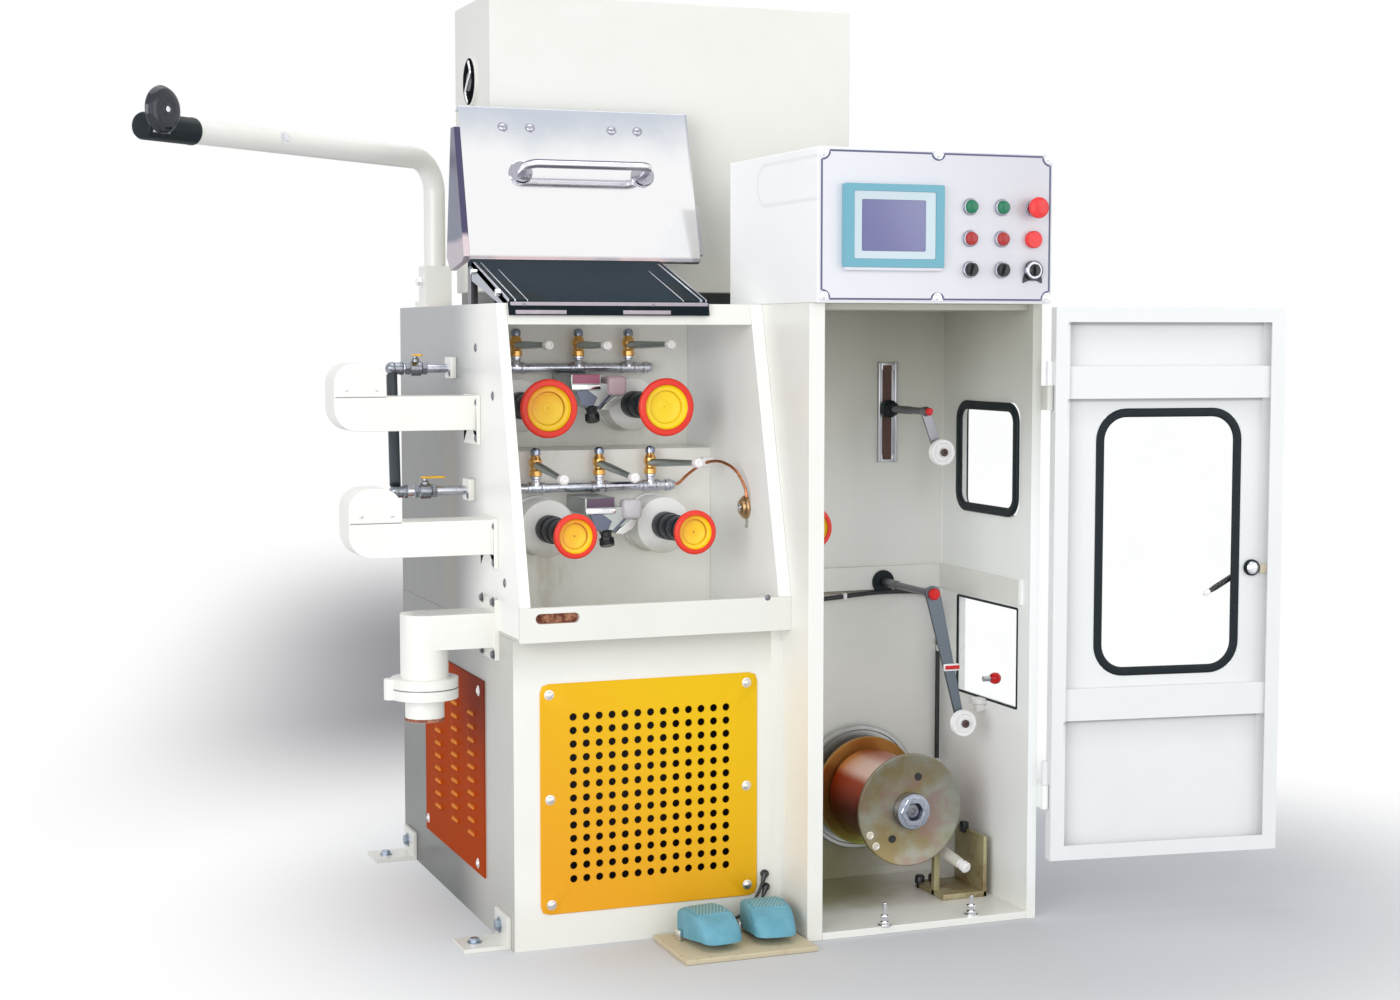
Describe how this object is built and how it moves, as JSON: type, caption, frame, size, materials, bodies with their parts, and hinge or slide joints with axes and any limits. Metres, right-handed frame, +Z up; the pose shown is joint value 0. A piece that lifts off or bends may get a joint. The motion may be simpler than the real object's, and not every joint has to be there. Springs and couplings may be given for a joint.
{
  "type": "fine wire drawing machine",
  "caption": "Fine wire drawing machine with capstans in an open chamber, a spooling column with a hinged door, a control box and a rear electrical cabinet.",
  "frame": {"origin": "on the floor, at the middle of the base cabinet's underside", "axes": "+Z up, -Y to the operator in front of the chamber, +X to the spooling column"},
  "size_m": [2.1259, 1.0817, 1.8],
  "materials": {
    "ivory_paint": "satin powder coat",
    "yellow_paint": "satin powder coat",
    "orange_paint": "satin powder coat",
    "stainless": "brushed, with soft reflections",
    "capstan_finish": "red rim, yellow dish, black hub, ivory drum",
    "cast_grey": "machined grey metal",
    "lever_yellow": "dipped vinyl",
    "arm_ivory": "satin powder coat",
    "black_plastic": "moulded",
    "window_rubber": "black gasket with a clear pane",
    "panel_aluminium": "brushed",
    "screen_teal": "moulded teal frame with a violet-grey screen",
    "button_plastic": "green, red and black caps in chrome rings",
    "zinc_flange": "zinc plated, faintly iridescent",
    "copper_wire": "bright drawn copper",
    "pulley_white": "ceramic white",
    "pedal_blue": "hammered light blue",
    "plate_beige": "worn beige paint",
    "cable_black": "matt black sheath"
  },
  "bodies": {
    "machine": {"base_cabinet": "ivory_paint", "perforated_panel": "yellow_paint", "louvred_panel": "orange_paint", "anchor_feet": "ivory_paint", "chamber_sill": "ivory_paint", "left_side_plate": "ivory_paint", "right_side_plate": "ivory_paint", "lower_capstan_wall": "ivory_paint", "upper_capstan_wall": "ivory_paint", "top_plate": "ivory_paint", "upper_manifold": "stainless", "lower_manifold": "stainless", "die_holders": "cast_grey", "wire_inlets": "ivory_paint", "coolant_feed_pipes": "stainless", "drain_duct": "ivory_paint", "swing_arm_socket": "ivory_paint", "cover_upper_leaf": "stainless", "cover_lower_leaf": "stainless", "electrical_cabinet": "ivory_paint", "column_left_wall": "ivory_paint", "column_right_wall": "ivory_paint", "column_back_housing": "ivory_paint", "column_floor": "ivory_paint", "column_roof": "ivory_paint", "column_windows": "window_rubber", "control_box": "ivory_paint", "control_panel": "panel_aluminium", "operator_screen": "screen_teal", "push_buttons": "button_plastic", "guide_rail": "ivory_paint", "recess_fittings": "black_plastic", "foot_pedal_base": "plate_beige", "left_pedal_cable": "cable_black", "right_pedal_cable": "cable_black"},
    "door": {"door": "ivory_paint", "door_window": "window_rubber"},
    "door_latch": {"door_latch": "black_plastic"},
    "spool": {"wire_spool": "zinc_flange", "spool_winding": "copper_wire", "spool_spindle": "zinc_flange"},
    "dancer": {"dancer_arm": "cast_grey"},
    "dancer_pulley": {"dancer_pulley": "pulley_white"},
    "guide_pulley": {"guide_pulley": "pulley_white"},
    "upper_left_capstan": {"upper_left_capstan": "capstan_finish"},
    "upper_right_capstan": {"upper_right_capstan": "capstan_finish"},
    "lower_left_capstan": {"lower_left_capstan": "capstan_finish"},
    "lower_right_capstan": {"lower_right_capstan": "capstan_finish"},
    "take_up_capstan": {"take_up_capstan": "capstan_finish"},
    "swing_arm": {"swing_arm": "arm_ivory"},
    "arm_wheel": {"arm_wheel": "black_plastic"},
    "upper_valve_lever": {"upper_valve_lever": "lever_yellow"},
    "lower_valve_lever": {"lower_valve_lever": "lever_yellow"},
    "left_pedal": {"left_foot_pedal": "pedal_blue"},
    "right_pedal": {"right_foot_pedal": "pedal_blue"}
  },
  "joints": [
    {"name": "door_hinge", "type": "hinge", "parent": "machine", "child": "door", "pos_m": [0.7505, -0.5745, 0.6], "axis": [0, 0, 1], "range_deg": [-172, 0]},
    {"name": "latch_turn", "type": "hinge", "parent": "door", "child": "door_latch", "pos_m": [1.17515, -0.62105, 0.67], "axis": [0.1392, 0.9903, 0], "range_deg": [0, 90]},
    {"name": "spool_spin", "type": "hinge", "parent": "machine", "child": "spool", "pos_m": [0.5275, -0.3285, 0.205], "axis": [0, 1, 0], "continuous": true},
    {"name": "dancer_swing", "type": "hinge", "parent": "machine", "child": "dancer", "pos_m": [0.5845, -0.3285, 0.621], "axis": [0, 1, 0], "range_deg": [-8, 50]},
    {"name": "dancer_pulley_spin", "type": "hinge", "parent": "dancer", "child": "dancer_pulley", "pos_m": [0.64723, -0.4365, 0.36559], "axis": [0, 1, 0], "continuous": true},
    {"name": "guide_pulley_spin", "type": "hinge", "parent": "machine", "child": "guide_pulley", "pos_m": [0.6245, -0.3805, 0.893], "axis": [0, 1, 0], "continuous": true},
    {"name": "upper_left_capstan_spin", "type": "hinge", "parent": "machine", "child": "upper_left_capstan", "pos_m": [-0.1415, -0.1285, 0.984], "axis": [0, 1, 0], "continuous": true},
    {"name": "upper_right_capstan_spin", "type": "hinge", "parent": "machine", "child": "upper_right_capstan", "pos_m": [0.0935, -0.1285, 0.984], "axis": [0, 1, 0], "continuous": true},
    {"name": "lower_left_capstan_spin", "type": "hinge", "parent": "machine", "child": "lower_left_capstan", "pos_m": [-0.1285, -0.2285, 0.753], "axis": [0, 1, 0], "continuous": true},
    {"name": "lower_right_capstan_spin", "type": "hinge", "parent": "machine", "child": "lower_right_capstan", "pos_m": [0.1065, -0.2285, 0.753], "axis": [0, 1, 0], "continuous": true},
    {"name": "take_up_capstan_spin", "type": "hinge", "parent": "machine", "child": "take_up_capstan", "pos_m": [0.3455, -0.2785, 0.753], "axis": [0, 1, 0], "continuous": true},
    {"name": "swing_arm_turn", "type": "hinge", "parent": "machine", "child": "swing_arm", "pos_m": [-0.2265, 0.2615, 1.2], "axis": [0, 0, 1], "range_deg": [-100, 25]},
    {"name": "arm_wheel_spin", "type": "hinge", "parent": "swing_arm", "child": "arm_wheel", "pos_m": [-0.84442, -0.30268, 1.51], "axis": [0.6428, -0.766, 0], "continuous": true},
    {"name": "upper_valve_turn", "type": "hinge", "parent": "machine", "child": "upper_valve_lever", "pos_m": [-0.33876, -0.0235, 1.077], "axis": [0, 0, 1], "range_deg": [0, 90]},
    {"name": "lower_valve_turn", "type": "hinge", "parent": "machine", "child": "lower_valve_lever", "pos_m": [-0.35426, -0.1535, 0.847], "axis": [0, 0, 1], "range_deg": [-90, 0]},
    {"name": "left_pedal_press", "type": "hinge", "parent": "machine", "child": "left_pedal", "pos_m": [0.07475, -0.48953, 0.024], "axis": [0.9903, 0.1392, 0], "range_deg": [0, 4.5], "stiffness_Nm_per_rad": 12, "springref_deg": -14.32},
    {"name": "right_pedal_press", "type": "hinge", "parent": "machine", "child": "right_pedal", "pos_m": [0.20258, -0.48308, 0.024], "axis": [0.9945, -0.1045, 0], "range_deg": [0, 4.5], "stiffness_Nm_per_rad": 12, "springref_deg": -14.32}
  ]
}
